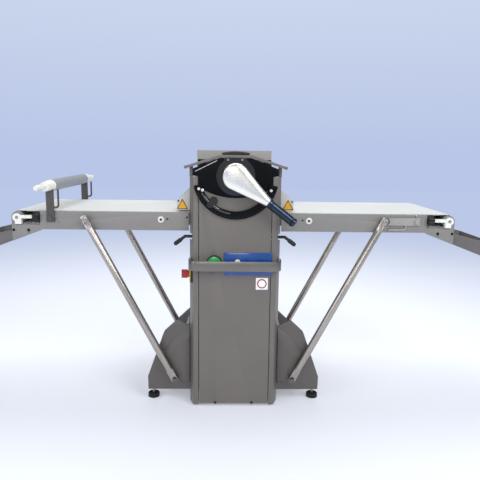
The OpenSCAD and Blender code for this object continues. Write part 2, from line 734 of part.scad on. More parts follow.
// lobed knob on a threaded rod that pushes the slide
module knob() {
  color([0.03, 0.03, 0.03]) translate([-knob_x, -knob_y, axis_z + 3]) rotate([0, 90, 0])
    linear_extrude(26, center = true) difference() {
      union() {
        circle(r = 17);
        for (i = [0:5]) rotate(i*60) translate([16, 0]) circle(r = 6, $fn = 24);
      }
    }
  color([0.75, 0.75, 0.77]) translate([-knob_x - 31, -knob_y, axis_z + 3]) rotate([0, 90, 0])
    cylinder(r = 2.95, h = 18);
}
module struts() {
  color([0.72, 0.73, 0.74]) front_and_rear() {
    translate([-strut_x, -strut_y, strut_z]) rotate([0, strut_deg, 0]) {
      difference() {
        union() {
          // tube between the two flattened ends
          translate([48, 0, 0]) rotate([0, 90, 0]) cylinder(r = strut_r, h = strut_l - 106);
          translate([-18, -7, -14]) cube([68, 14, 28]);
          translate([strut_l - 62, -7, -16]) cube([66, 14, 32]);
        }
        // fork that stands on the base stud
        translate([strut_l, 8, 0]) rotate([90, 0, 0]) cylinder(r = 9 + seat, h = 16);
        translate([strut_l, 8, 0]) rotate([90, 0, 0]) linear_extrude(16)
          polygon([[0, -9 - seat], [30, -14], [30, 14], [0, 9 + seat]]);
      }
    }
    // upper bolt through the rail
    rod_y(-strut_x, strut_z, 8, -strut_y - 7, -rail_in_y + 4);
    rod_y(-strut_x, strut_z, 13, -strut_y - 15, -strut_y - 7);
  }
}
// flat arm with a hooked rod; it stands up from its pivot bolt
module pin_arm() {
  color([0.16, 0.16, 0.17]) {
    difference() {
      union() {
        block([-pin_x - 18, -arm_y0 - arm_t, arm_pivot_z - 16], [-pin_x + 18, -arm_y0, pin_z - 13]);
      }
      rod_y(-pin_x, pin_z, collar_r + seat, -arm_y0 - 9, -arm_y0 + 9);
    }
    rod_y(-pin_x, arm_pivot_z, 6, -arm_y0 - 2, -rail_in_y + 4);
  }
  color([0.85, 0.85, 0.86]) rod_y(-pin_x, arm_pivot_z, 11, -arm_y0 - arm_t - 9, -arm_y0 - arm_t);
  color([0.2, 0.2, 0.21]) translate([-pin_x + 18, -arm_y0 - arm_t/2, pin_z - 86]) {
    translate([6, 0, 0]) rotate([90, 0, 0]) rotate([0, 0, 180]) rotate_extrude(angle = 180)
      translate([14, 0]) circle(r = 4.5, $fn = 24);
    translate([20, 0, 0]) cylinder(r = 4.5, h = 70, $fn = 24);
    translate([-8, 0, 0]) cylinder(r = 4.5, h = 30, $fn = 24);
  }
}
module left_pin_arms() { front_and_rear() pin_arm(); }
module rolling_pin() {
  color([0.66, 0.68, 0.66]) difference() {
    rod_y(-pin_x, pin_z, pin_r, -pin_l/2, pin_l/2);
    rod_y(-pin_x, pin_z, pin_r - 3, -pin_l/2 - 1, pin_l/2 + 1);
  }
  color([0.93, 0.92, 0.86]) front_and_rear() translate([-pin_x, -pin_l/2, pin_z]) rotate([90, 0, 0])
    rotate_extrude() polygon([[0, 0], [pin_r, 0], [pin_r, 6], [collar_r, 8], [collar_r, 84],
      [collar_r - 5, 90], [13, 92], [12, 120], [14, pin_handle_l - 30], [14, pin_handle_l - 8],
      [10, pin_handle_l], [0, pin_handle_l]]);
}
// catch tray: a pan that widens outwards under the end of the belt
module tray() {
  x1 = end_x + tray_reach;
  color([0.45, 0.45, 0.44]) difference() {
    along_y(-rail_in_y + 1, rail_in_y - 1) polygon([
      [-rail_x1 - 30, tray_z(rail_x1 + 30) + 1], [-rail_x1 - 30, rail_bot_z], [-end_x - 27, rail_bot_z - 3],
      [-x1, rail_bot_z - 3 - 0.25*(x1 - end_x - 27)], [-x1, tray_z(x1) + 1]]);
    along_y(-rail_in_y + 3, rail_in_y - 3) polygon([
      [-rail_x1 - 32, tray_z(rail_x1 + 32) + 3.2], [-rail_x1 - 32, rail_bot_z + 1],
      [-end_x - 27, rail_bot_z + 1], [-x1 + 2, rail_bot_z + 1], [-x1 + 2, tray_z(x1 - 2) + 3.2]]);
  }
  color([0.3, 0.3, 0.3]) front_and_rear() rod_y(-tray_bolt[0], tray_bolt[1], 4, -face_y - 3, -rail_in_y + 2);
}
tray_bolt = [end_x - 49, rail_bot_z - 12];

module left_table_frame() { table_frame(); }
module right_table_frame() { as_right() table_frame(); }
module left_table_bed() { table_bed(); }
module right_table_bed() { as_right() table_bed(); }
module left_belt() { table_belt(); }
module right_belt() { as_right() table_belt(); }
module left_end_roller() { end_roller(); }
module right_end_roller() { as_right() end_roller(); }
module left_drive_roller() { drive_roller(); }
module right_drive_roller() { as_right() drive_roller(); }
module left_tension_slides() { tension_slides(); }
module right_tension_slides() { as_right() tension_slides(); }
module left_knob_front() { knob(); }
module left_knob_rear() { mirror([0, 1, 0]) knob(); }
module right_knob_front() { as_right() knob(); }
module right_knob_rear() { as_right() mirror([0, 1, 0]) knob(); }
module left_struts() { struts(); }
module right_struts() { as_right() struts(); }
// the right table's arms lie folded along the rail
module folded_arm() {
  as_right() translate([-pin_x, 0, arm_pivot_z]) rotate([0, 90, 0])
    translate([pin_x, 0, -arm_pivot_z]) pin_arm();
}
module right_front_arm() { folded_arm(); }
module right_rear_arm() { mirror([0, 1, 0]) folded_arm(); }
module left_tray() { tray(); }
module right_tray() { as_right() tray(); }

side_plates();
tie_bars();
base_pan();
foot_brackets();
foot_pads();
foot_studs();
belly_covers();
front_cover();
front_panel();
front_screws();
front_roof();
roof_cap();
control_plate();
scale_ring();
ring_bolts();
lamp_plate();
switch_base();
switch_handle();
rear_housing();
top_cover();
roller_bearings();
lower_roller();
upper_roller();
roller_carriage();
lever_shaft();
gap_lever();
lever_grip();
limiter();
stop_bar();
start_button();
direction_lever();
left_guard();
right_guard();
motor();
drive_sprocket();
drive_chain();
left_table_frame();
left_table_bed();
left_belt();
left_end_roller();
left_drive_roller();
left_tension_slides();
left_knob_front();
left_knob_rear();
left_struts();
left_pin_arms();
left_tray();
rolling_pin();
right_table_frame();
right_table_bed();
right_belt();
right_end_roller();
right_drive_roller();
right_tension_slides();
right_knob_front();
right_knob_rear();
right_struts();
right_front_arm();
right_rear_arm();
right_tray();
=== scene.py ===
# %% [markdown]
# # A dough sheeter, finished in cells
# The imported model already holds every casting, sheet and shaft at its real size.
# This script loads it as a fixed frame, rounds its edges, gives each piece its real
# finish and adds the small hardware that a plain model leaves out.

# %% Load the frame
import json
import math
import bmesh
import bpy
from mathutils import Matrix, Vector


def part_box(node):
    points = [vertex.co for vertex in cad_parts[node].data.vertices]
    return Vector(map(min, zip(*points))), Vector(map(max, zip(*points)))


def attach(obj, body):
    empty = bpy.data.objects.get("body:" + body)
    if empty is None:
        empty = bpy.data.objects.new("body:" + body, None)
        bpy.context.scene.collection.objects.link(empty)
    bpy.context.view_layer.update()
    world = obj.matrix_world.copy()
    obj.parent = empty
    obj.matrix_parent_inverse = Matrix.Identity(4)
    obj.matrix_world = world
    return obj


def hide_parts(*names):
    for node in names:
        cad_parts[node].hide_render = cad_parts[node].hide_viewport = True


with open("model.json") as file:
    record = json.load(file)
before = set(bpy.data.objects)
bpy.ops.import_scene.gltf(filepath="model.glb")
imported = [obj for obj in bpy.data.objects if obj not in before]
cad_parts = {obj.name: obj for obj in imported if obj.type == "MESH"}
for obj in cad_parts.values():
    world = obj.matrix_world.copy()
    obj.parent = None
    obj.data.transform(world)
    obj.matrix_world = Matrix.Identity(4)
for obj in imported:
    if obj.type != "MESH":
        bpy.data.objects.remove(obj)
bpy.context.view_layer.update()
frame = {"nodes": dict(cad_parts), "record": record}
record = frame["record"]
joints = {j["name"]: j for j in record["behaviour"]["joints"]}
body_of_node = {n: b for b, nodes in record["behaviour"]["bodies"].items() for n in nodes}
slot_of_node = {s["node"]: s["material_slot"] for s in record["subparts"]}
MM = 0.001

# %% [markdown]
# ## The camera
# The camera stands 2.8 m in front of the machine, level with its top and just left of
# its middle, and looks slightly down. A 40 mm lens on a 36 mm sensor gives that view.
# The camera's axes are built from three angles, so that the small roll is one number.

# %% Place the camera
LENS_MM, SENSOR_MM = 40.18, 36.0
PITCH, YAW, ROLL = math.radians(9.61), math.radians(1.36), math.radians(0.76)
EYE = Vector((-0.0352, -2.7723, 1.2273))


def make_camera():
    ahead = Vector((math.sin(YAW) * math.cos(PITCH), math.cos(YAW) * math.cos(PITCH), -math.sin(PITCH)))
    right = Vector((math.cos(YAW), -math.sin(YAW), 0.0))
    up = right.cross(ahead)
    rolled_right = right * math.cos(ROLL) + up * math.sin(ROLL)
    rolled_up = up * math.cos(ROLL) - right * math.sin(ROLL)
    cam = bpy.data.objects.new("camera", bpy.data.cameras.new("camera"))
    cam.data.lens = LENS_MM
    cam.data.sensor_width = SENSOR_MM
    turn = Matrix((rolled_right, rolled_up, -ahead)).transposed()
    cam.matrix_world = Matrix.Translation(EYE) @ turn.to_4x4()
    bpy.context.collection.objects.link(cam)
    bpy.context.scene.camera = cam
    return cam


camera = make_camera()
print("camera at", tuple(round(v, 3) for v in camera.location))

# %% [markdown]
# ## A small kit for finishes
# A finish starts from what the real surface is and how it was made. `finish` makes the
# Principled shader with the plain values, and `add` puts one node in with its settings
# and links. Patterns read Object coordinates, which are metres here, so a feature of
# `size` millimetres needs a noise scale of 1000 / size.

# %% Helpers for finishes
def linear(hex_colour):
    """An sRGB hex colour as the linear RGBA that shaders expect."""
    parts = [int(hex_colour[i:i + 2], 16) / 255 for i in (1, 3, 5)]
    return [p / 12.92 if p <= 0.04045 else ((p + 0.055) / 1.055) ** 2.4 for p in parts] + [1.0]


def add(tree, kind, settings=None, **inputs):
    """Adds a node. Settings are attributes; inputs are values or output sockets."""
    node = tree.nodes.new(kind)
    for name, value in (settings or {}).items():
        setattr(node, name, value)
    for name, value in inputs.items():
        socket = node.inputs[int(name[1:]) if name[0] == "_" else name]
        if isinstance(value, bpy.types.NodeSocket):
            tree.links.new(value, socket)
        else:
            socket.default_value = value
    return node


def finish(name, hex_colour, roughness, metallic=0.0, **constants):
    """A new material; returns its tree, its shader node and the coordinates it reads."""
    mat = bpy.data.materials.new(name)
    mat.use_nodes = True
    tree = mat.node_tree
    shader = tree.nodes["Principled BSDF"]
    shader.inputs["Base Color"].default_value = linear(hex_colour)
    shader.inputs["Roughness"].default_value = roughness
    shader.inputs["Metallic"].default_value = metallic
    for key, value in constants.items():
        shader.inputs[key.replace("_", " ")].default_value = value
    place = add(tree, "ShaderNodeTexCoord").outputs["Object"]
    mat.diffuse_color = linear(hex_colour)
    return mat, tree, shader, place


def per_mm(size):
    """Noise scale for features of this many millimetres."""
    return 1.0 / (size * MM)


def tint(tree, shader, factor, low, high):
    """Colours the shader between two hex colours by a factor socket."""
    mix = add(tree, "ShaderNodeMix", {"data_type": "RGBA"}, Factor=factor)
    mix.inputs[6].default_value = linear(low)
    mix.inputs[7].default_value = linear(high)
    tree.links.new(mix.outputs[2], shader.inputs["Base Color"])


def vary_roughness(tree, shader, factor, low, high):
    """Lets the roughness wander between two values by a factor socket."""
    span = add(tree, "ShaderNodeMapRange", Value=factor)
    span.inputs["To Min"].default_value = low
    span.inputs["To Max"].default_value = high
    tree.links.new(span.outputs["Result"], shader.inputs["Roughness"])


def relief(tree, shader, height, depth_mm, strength=1.0):
    """Bumps the surface by a height socket, this many millimetres deep."""
    bump = add(tree, "ShaderNodeBump", Height=height, Strength=strength, Distance=depth_mm * MM)
    tree.links.new(bump.outputs["Normal"], shader.inputs["Normal"])


finishes = {}
print("finish kit ready")

# %% [markdown]
# ## Floor and light
# A large machine is shown best on a pale sweep with soft light from all sides. Four big
# area lamps do the work: the key from the right, a weaker fill from the left, one from
# behind the operator, and one over the back, which draws a bright edge on the roof and
# the belts. The floor glows a little, and fades into the blue of the backdrop.

# %% Build the floor and the lamps
FLOOR_HALF = 14.0
PAPER_ENDS, BACKDROP_STARTS = 0.09, 0.52
PALE_HEIGHT = 0.3
CHEST, HEAD = (0, 0, 0.7), (0, 0, 0.9)


def ramp(tree, factor, stops, ease="LINEAR"):
    """The colour output of a ramp over a factor socket, from two (position, hex) stops."""
    fade = add(tree, "ShaderNodeValToRGB", Fac=factor)
    fade.color_ramp.interpolation = ease
    for element, (position, hex_colour) in zip(fade.color_ramp.elements, stops):
        element.position = position
        element.color = linear(hex_colour)
    return fade.outputs["Color"]


def floor_finish():
    """Pale paper that lights itself a little and turns to the backdrop's blue far away."""
    mat, tree, shader, place = finish(
        "floor_paper", "#E4E7EE", 0.9, Specular_IOR_Level=0.0, Emission_Strength=1.0)
    far = add(tree, "ShaderNodeVectorMath", {"operation": "LENGTH"}, _0=place)
    share = add(tree, "ShaderNodeMath", {"operation": "DIVIDE"}, _0=far.outputs["Value"], _1=FLOOR_HALF)
    for socket, near_hex, far_hex in (
            ("Base Color", "#E4E7EE", "#000000"), ("Emission Color", "#807F82", "#BBC8E8")):
        stops = [(PAPER_ENDS, near_hex), (BACKDROP_STARTS, far_hex)]
        tree.links.new(ramp(tree, share.outputs["Value"], stops, "EASE"), shader.inputs[socket])
    return mat


def make_floor():
    mesh = bpy.data.meshes.new("floor")
    corners = [(x * FLOOR_HALF, y * FLOOR_HALF, 0) for x, y in ((-1, -1), (1, -1), (1, 1), (-1, 1))]
    mesh.from_pydata(corners, [], [(0, 1, 2, 3)])
    mesh.materials.append(floor_finish())
    sheet = bpy.data.objects.new("floor", mesh)
    bpy.context.collection.objects.link(sheet)
    return sheet


def lamp(name, place, target, size, watts, colour="#FFFFFF"):
    """A square area lamp that faces its target."""
    data = bpy.data.lights.new(name, "AREA")
    data.energy = watts
    data.size = size
    data.color = linear(colour)[:3]
    obj = bpy.data.objects.new(name, data)
    aim = Vector(target) - Vector(place)
    obj.location = place
    obj.rotation_euler = aim.to_track_quat("-Z", "Y").to_euler()
    bpy.context.collection.objects.link(obj)


def studio_world():
    """Even pale light for the machine; the camera sees a blue sweep, paler higher up."""
    world = bpy.data.worlds.new("studio")
    world.use_nodes = True
    tree = world.node_tree
    sky = tree.nodes["Background"]
    sky.inputs["Color"].default_value = linear("#DFE6F2")
    sky.inputs["Strength"].default_value = 0.62
    heading = add(tree, "ShaderNodeTexCoord").outputs["Generated"]
    height = add(tree, "ShaderNodeSeparateXYZ", Vector=heading).outputs["Z"]
    blue = ramp(tree, height, [(0.0, "#B9C6E7"), (PALE_HEIGHT, "#CED9ED")])
    seen = add(tree, "ShaderNodeBackground", Color=blue)
    ray = add(tree, "ShaderNodeLightPath").outputs["Is Camera Ray"]
    pick = add(tree, "ShaderNodeMixShader", _0=ray, _1=sky.outputs[0], _2=seen.outputs[0])
    tree.links.new(pick.outputs[0], tree.nodes["World Output"].inputs[0])
    bpy.context.scene.world = world
    bpy.context.scene.view_settings.view_transform = "Standard"


floor = make_floor()
lamp("key", (2.6, -3.6, 3.6), CHEST, 2.2, 95)
lamp("fill", (-3.4, -3.0, 2.0), CHEST, 2.4, 38, "#F3F7FF")
lamp("front", (-0.6, -5.2, 2.3), HEAD, 1.8, 42, "#FFFBF2")
lamp("top", (0.0, 1.4, 3.8), HEAD, 3.0, 80)
studio_world()
print("stage", floor.name, "lamps", len(bpy.data.lights))

# %% [markdown]
# ## Painted sheet metal
# The plates, rails and covers are steel with a baked powder coat. Powder flows into a
# faint orange peel a couple of millimetres across. Flour dust and wiping leave soft
# clouds in the sheen, about a hand wide. One function makes every powder coat, and the
# smoother enamels too. A low sheen keeps the black plate behind the lever deep.

# %% Powder coats and enamels
HAND_MM = 160


def painted(name, dark, light, roughness, peel_mm=2.2, peel_depth_mm=0.05, sheen=0.5):
    mat, tree, shader, place = finish(name, light, roughness, IOR=1.5, Specular_IOR_Level=sheen)
    clouds = add(tree, "ShaderNodeTexNoise", Vector=place, Scale=per_mm(HAND_MM), Detail=4.0)
    peel = add(tree, "ShaderNodeTexNoise", Vector=place, Scale=per_mm(peel_mm), Detail=2.0)
    tint(tree, shader, clouds.outputs["Fac"], dark, light)
    vary_roughness(tree, shader, clouds.outputs["Fac"], roughness - 0.08, roughness + 0.1)
    relief(tree, shader, peel.outputs["Fac"], peel_depth_mm, 0.35)
    return mat


finishes["frame_paint"] = painted("powder_coat_warm_grey", "#7F7C79", "#8B8884", 0.42)
finishes["cover_paint"] = painted("powder_coat_stone_grey", "#67625D", "#716C66", 0.40)
finishes["black_paint"] = painted("enamel_black", "#040508", "#080A10", 0.3, 3.0, 0.02)
finishes["base_paint"] = painted("powder_coat_base_grey", "#55514D", "#5F5B57", 0.45)
finishes["rear_paint"] = painted("powder_coat_rear_grey", "#A09D98", "#ABA8A3", 0.42)
finishes["guard_paint"] = painted("powder_coat_pale_grey", "#B4B2AA", "#C4C2BA", 0.4)
finishes["motor_paint"] = painted("enamel_blue_grey", "#3A4652", "#485563", 0.35)
finishes["tray_paint"] = painted("powder_coat_dark_grey", "#5E5B58", "#6A6764", 0.5)
finishes["arm_paint"] = painted("powder_coat_graphite", "#4B4845", "#575450", 0.5, sheen=0.3)
finishes["arm_grey"] = painted("powder_coat_light_grey", "#97948F", "#A29F9A", 0.42)
finishes["plate_black"] = painted("satin_black_enamel", "#020304", "#05060A", 0.45, 3.0, 0.02, sheen=0.12)
print("painted finishes", len(finishes))

# %% [markdown]
# ## Bare metals
# Three surfaces of metal show here. Ground steel has fine parallel scratches, drawn by
# stretching a noise along the way that the belt of the grinder ran. Polished stainless
# steel is nearly a mirror, with faint finger marks in its gloss. Cast blocks are duller,
# and their noise isn't stretched, so they look pitted.

# %% Metal finishes
SCRATCH_MM, CLOUD_MM, FINGER_MM = 1.6, 90, 35
ALONG_X, ALONG_Y, ALONG_Z = (0.03, 1.0, 1.0), (1.0, 0.03, 1.0), (1.0, 1.0, 0.05)
EVEN = (1.0, 1.0, 1.0)


def brushed(name, hex_dark, hex_light, roughness, along):
    """Ground steel; along is the scale triple that stretches the scratches.

    Real scratches are finer than a tenth of a millimetre. These are drawn coarser, so
    that they show from where the operator stands.
    """
    mat, tree, shader, place = finish(name, hex_light, roughness, metallic=1.0)
    lay = add(tree, "ShaderNodeMapping", Vector=place)
    lay.inputs["Scale"].default_value = along
    laid = lay.outputs["Vector"]
    scratch = add(tree, "ShaderNodeTexNoise", Vector=laid, Scale=per_mm(SCRATCH_MM), Detail=3.0)
    cloud = add(tree, "ShaderNodeTexNoise", Vector=place, Scale=per_mm(CLOUD_MM), Detail=3.0)
    tint(tree, shader, cloud.outputs["Fac"], hex_dark, hex_light)
    vary_roughness(tree, shader, scratch.outputs["Fac"], roughness - 0.1, roughness + 0.12)
    relief(tree, shader, scratch.outputs["Fac"], 0.02, 0.3)
    return mat


def polished(name, hex_dark, hex_light, roughness):
    """Mirror-like metal with finger marks."""
    mat, tree, shader, place = finish(name, hex_light, roughness, metallic=1.0)
    smear = add(tree, "ShaderNodeTexNoise", Vector=place, Scale=per_mm(FINGER_MM), Detail=5.0)
    tint(tree, shader, smear.outputs["Fac"], hex_dark, hex_light)
    vary_roughness(tree, shader, smear.outputs["Fac"], roughness, roughness + 0.1)
    return mat


finishes["steel"] = brushed("ground_stainless_steel", "#9EA1A3", "#B9BCBE", 0.32, ALONG_Y)
finishes["strut_steel"] = brushed("drawn_steel_tube", "#9B948C", "#C0B8B0", 0.28, ALONG_Z)
finishes["bed_steel"] = brushed("ground_steel_sheet", "#A3A5A6", "#BFC1C2", 0.36, ALONG_X)
finishes["chrome"] = polished("polished_stainless", "#EDE8DC", "#FFFCF4", 0.2)
finishes["cast_iron"] = brushed("milled_cast_iron", "#4C4F52", "#64686B", 0.5, EVEN)
finishes["bar_steel"] = brushed("bent_flat_steel", "#75716C", "#86827C", 0.34, ALONG_X)
print("metal finishes", [m.name for k, m in finishes.items() if "steel" in k or k == "chrome"])

# %% [markdown]
# ## Plastics, rubber and the belt
# Moulded plastics have a fine spark-eroded grain. The belt is a white coated weave:
# crossing threads 1.5 mm apart on the real thing, which would vanish from across a
# bakery, so they are drawn 5 mm apart. Flour makes broad pale clouds on it.

# %% Plastic, rubber and belt finishes
SHADE_MM, FLOUR_MM, THREAD_MM = 28, 220, 5.0


def moulded(name, dark, light, roughness, grain_mm=1.2, depth_mm=0.03, coat=0.0):
    """Moulded plastic, rubber or printed film; a coat makes it glossy."""
    mat, tree, shader, place = finish(name, light, roughness, IOR=1.47, Coat_Weight=coat)
    grain = add(tree, "ShaderNodeTexNoise", Vector=place, Scale=per_mm(grain_mm), Detail=2.0)
    cloud = add(tree, "ShaderNodeTexNoise", Vector=place, Scale=per_mm(SHADE_MM), Detail=3.0)
    tint(tree, shader, cloud.outputs["Fac"], dark, light)
    vary_roughness(tree, shader, cloud.outputs["Fac"], roughness - 0.06, roughness + 0.08)
    relief(tree, shader, grain.outputs["Fac"], depth_mm, 0.4)
    return mat


def belt_weave():
    """A coated weave: two crossing waves, and flour clouds in its colour."""
    mat, tree, shader, place = finish("coated_belt_weave", "#D8D7D3", 0.62, IOR=1.45)
    warp, weft = [
        add(tree, "ShaderNodeTexWave", {"wave_type": "BANDS", "wave_profile": "SIN", "bands_direction": way},
            Vector=place, Scale=per_mm(THREAD_MM) / 3.14, Distortion=0.6).outputs["Fac"] for way in "XY"]
    cross = add(tree, "ShaderNodeMath", {"operation": "MULTIPLY"}, _0=warp, _1=weft)
    flour = add(tree, "ShaderNodeTexNoise", Vector=place, Scale=per_mm(FLOUR_MM), Detail=6.0)
    tint(tree, shader, flour.outputs["Fac"], "#CFCFCB", "#DEDEDA")
    vary_roughness(tree, shader, flour.outputs["Fac"], 0.52, 0.78)
    relief(tree, shader, cross.outputs["Value"], 0.25, 0.35)
    return mat


finishes["belt"] = belt_weave()
finishes["black_plastic"] = moulded("moulded_black_nylon", "#0A0A0B", "#151517", 0.38)
finishes["white_plastic"] = moulded("machined_white_acetal", "#E3E0D6", "#F3F1EA", 0.34)
finishes["green_plastic"] = moulded("start_button_green", "#0A9648", "#12B45C", 0.22, coat=0.6)
finishes["blue_plate"] = moulded("lamp_plate_blue", "#153E7E", "#1F55A5", 0.2, coat=0.5)
finishes["yellow_plastic"] = moulded("switch_plate_yellow", "#D9B812", "#EBCB22", 0.3)
finishes["red_plastic"] = moulded("switch_handle_red", "#8E120E", "#A81A14", 0.3, coat=0.3)
finishes["rubber"] = moulded("foot_rubber", "#0C0C0C", "#181818", 0.7, 2.5, 0.15)
finishes["label_white"] = moulded("label_film_white", "#ECECEA", "#F7F7F5", 0.3)
# A light grey for thin strips that are painted highlights along the lit edges of a slot and a slit.
finishes["highlight_grey"] = moulded("painted_highlight_grey", "#B9BBBD", "#D5D7D9", 0.35)
print("all finishes", len(finishes))

# %% [markdown]
# ## Rounded edges on every sheet and casting
# Real sheet metal is bent and castings are broken at the edge, so every edge catches a
# thin line of light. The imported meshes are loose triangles. A copy is merged, its flat
# faces are joined, and a small bevel rounds each sharp edge. The copy then stands for
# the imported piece.

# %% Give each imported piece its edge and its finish
PIECE_FINISH = {
    "stop_bar": "bar_steel", "control_plate": "plate_black", "scale_ring": "plate_black",
    "switch_base": "black_plastic", "direction_lever": "black_plastic",
    "side_plates": "base_paint", "belly_covers": "base_paint", "rear_housing": "rear_paint",
    "left_pin_arms": "arm_paint", "right_front_arm": "arm_grey", "right_rear_arm": "arm_grey",
}
EDGE_MM = {
    "front_roof": 2.5, "rear_housing": 2.5, "belly_covers": 2.5, "roof_cap": 2.0, "motor": 2.0,
    "switch_handle": 2.0, "front_cover": 1.5, "foot_pads": 1.5, "start_button": 1.5, "side_plates": 1.0,
    "stop_bar": 0.9, "control_plate": 0.8, "lamp_plate": 0.8, "switch_base": 0.8, "top_cover": 0.8,
    "left_pin_arms": 0.8, "right_front_arm": 0.8, "right_rear_arm": 0.8, "front_panel": 0.5,
}
for side in ("left", "right"):
    PIECE_FINISH.update({f"{side}_struts": "strut_steel", f"{side}_table_bed": "bed_steel",
                         f"{side}_tray": "tray_paint", f"{side}_guard": "guard_paint"})
    EDGE_MM.update({f"{side}_struts": 1.5, f"{side}_knob_front": 1.5, f"{side}_knob_rear": 1.5,
                    f"{side}_table_frame": 0.8, f"{side}_tray": 0.7, f"{side}_guard": 0.6})
REBUILT = {"rolling_pin", "gap_lever", "lever_grip"}
WELD_M = 0.00002
FLAT_RAD, EDGE_RAD, SHARP_RAD = math.radians(1.0), math.radians(38), math.radians(32)


def mesh_from_modifiers(obj, name):
    """The object's evaluated mesh as a new plain mesh; its modifiers are then removed."""
    graph = bpy.context.evaluated_depsgraph_get()
    mesh = bpy.data.meshes.new_from_object(obj.evaluated_get(graph), depsgraph=graph)
    obj.modifiers.clear()
    mesh.name = name
    obj.data = mesh
    return mesh


def rounded_copy(node, width_mm):
    """A merged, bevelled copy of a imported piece."""
    mesh = frame["nodes"][node].data.copy()
    shape = bmesh.new()
    shape.from_mesh(mesh)
    bmesh.ops.remove_doubles(shape, verts=shape.verts, dist=WELD_M)
    bmesh.ops.dissolve_limit(shape, angle_limit=FLAT_RAD, verts=shape.verts, edges=shape.edges)
    shape.to_mesh(mesh)
    shape.free()
    piece = bpy.data.objects.new(node + "_finished", mesh)
    bpy.context.collection.objects.link(piece)
    bevel = piece.modifiers.new("edge", "BEVEL")
    bevel.width = width_mm * MM
    bevel.segments = 2
    bevel.limit_method = "ANGLE"
    bevel.angle_limit = EDGE_RAD
    bevel.use_clamp_overlap = True
    bevel.miter_outer = "MITER_ARC"
    bevel.harden_normals = False
    mesh = mesh_from_modifiers(piece, node + "_finished")
    for face in mesh.polygons:
        face.use_smooth = True
    mesh.set_sharp_from_angle(angle=SHARP_RAD)
    return piece


def dress(node):
    """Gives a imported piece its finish, on a rounded copy where it has an edge to round."""
    finish_name = PIECE_FINISH.get(node, slot_of_node[node])
    width = EDGE_MM.get(node)
    piece = rounded_copy(node, width) if width else frame["nodes"][node]
    piece.data.materials.clear()
    piece.data.materials.append(finishes[finish_name])
    if width:
        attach(piece, body_of_node[node])
        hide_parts(node)
    return width is not None


rounded = sum(dress(n) for n in sorted(frame["nodes"]) if n not in REBUILT)
print("rounded copies", rounded)

# %% [markdown]
# ## Turned pieces
# A knob, a cap or a handle is made on a lathe, so its mesh is a profile spun round an
# axis. The profile is a list of (distance along the axis, radius) pairs in metres. It
# starts and ends on the axis, or comes back to its first point as a ring does, so the
# shape is closed. The faces are turned outwards once at the end.

# %% A lathe for the rolling pin, the caps and the grip
ON_AXIS, MERGE_M = 1e-6, 0.000005


def show(name, shape, finish_name, body, smooth_deg=32):
    """Turns a bmesh into a finished piece that rides on a body."""
    bmesh.ops.remove_doubles(shape, verts=shape.verts, dist=MERGE_M)
    bmesh.ops.recalc_face_normals(shape, faces=shape.faces)
    mesh = bpy.data.meshes.new(name)
    shape.to_mesh(mesh)
    shape.free()
    for face in mesh.polygons:
        face.use_smooth = True
    mesh.set_sharp_from_angle(angle=math.radians(smooth_deg))
    mesh.materials.append(finishes[finish_name])
    piece = bpy.data.objects.new(name, mesh)
    bpy.context.collection.objects.link(piece)
    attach(piece, body)
    return piece


def turn(shape, profile, origin, axis, steps=48):
    """Adds a profile spun round an axis through origin. Radii under ON_AXIS become a point."""
    axis = Vector(axis).normalized()
    side = axis.orthogonal().normalized()
    other = axis.cross(side)
    rings = []
    for along, radius in profile:
        centre = Vector(origin) + axis * along
        if radius < ON_AXIS:
            rings.append([shape.verts.new(centre)])
            continue
        spokes = [side * math.cos(a) + other * math.sin(a)
                  for a in (2 * math.pi * i / steps for i in range(steps))]
        rings.append([shape.verts.new(centre + spoke * radius) for spoke in spokes])
    for low, high in zip(rings, rings[1:]):
        for i in range(steps):
            j = (i + 1) % steps
            corners = [low[i % len(low)], low[j % len(low)], high[j % len(high)], high[i % len(high)]]
            unique = list(dict.fromkeys(corners))
            if len(unique) > 2:
                shape.faces.new(unique)


print("lathe ready")

# %% [markdown]
# ## The rolling pin
# Dough is wound on this pin. Its barrel is a grey anodised tube, and white turned
# handles are pressed into both ends, with a broad collar that lies on the holder arms.

# %% Turn the barrel and both handles
pin_low, pin_high = (Vector(c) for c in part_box("rolling_pin"))
pin_axis = (pin_low + pin_high) / 2
pin_half = (pin_high.y - pin_low.y) / 2
BARREL_R, BARREL_HALF, COLLAR_R, RIM = 27 * MM, 283 * MM, 22 * MM, 1.5 * MM
finishes["pin_tube"] = painted("anodised_grey_tube", "#83878A", "#8F9396", 0.34, 1.5, 0.02)


def pin_barrel():
    """A closed drum with both rims broken by RIM."""
    shape = bmesh.new()
    rim = [(-BARREL_HALF, 0.0), (-BARREL_HALF, BARREL_R - RIM), (-BARREL_HALF + RIM, BARREL_R)]
    turn(shape, rim + [(-a, r) for a, r in rim[::-1]], pin_axis, (0, 1, 0), 64)
    return show("pin_barrel", shape, "pin_tube", "rolling_pin")


def pin_handles():
    """A flange against the barrel, the collar, a waisted neck, and a grip that swells."""
    shape = bmesh.new()
    length = pin_half - BARREL_HALF
    flange = [(0.0002, 0.0), (0.0002, BARREL_R - 0.0012), (0.0016, BARREL_R - 0.0002),
              (0.006, BARREL_R - 0.0002)]
    collar = [(0.008, COLLAR_R + 0.001), (0.010, COLLAR_R), (0.082, COLLAR_R), (0.0855, COLLAR_R - 0.0015)]
    neck = [(0.088, COLLAR_R - 0.006), (0.090, 0.0125)]
    grip = [(length * (0.46 + 0.07 * i), 0.0118 + 0.0026 * math.sin(math.pi * (i / 7) ** 1.3))
            for i in range(7)]
    nose = [(length - 0.004, 0.0105), (length - 0.001, 0.007), (length, 0.0)]
    profile = flange + collar + neck + grip + nose
    for way in (-1, 1):
        turn(shape, profile, pin_axis + Vector((0, way * BARREL_HALF, 0)), (0, way, 0), 48)
    return show("pin_handles", shape, "white_plastic", "rolling_pin")


barrel, handles = pin_barrel(), pin_handles()
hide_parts("rolling_pin")
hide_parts("rolling_pin")
print("pin length mm", round((pin_high.y - pin_low.y) * 1000))

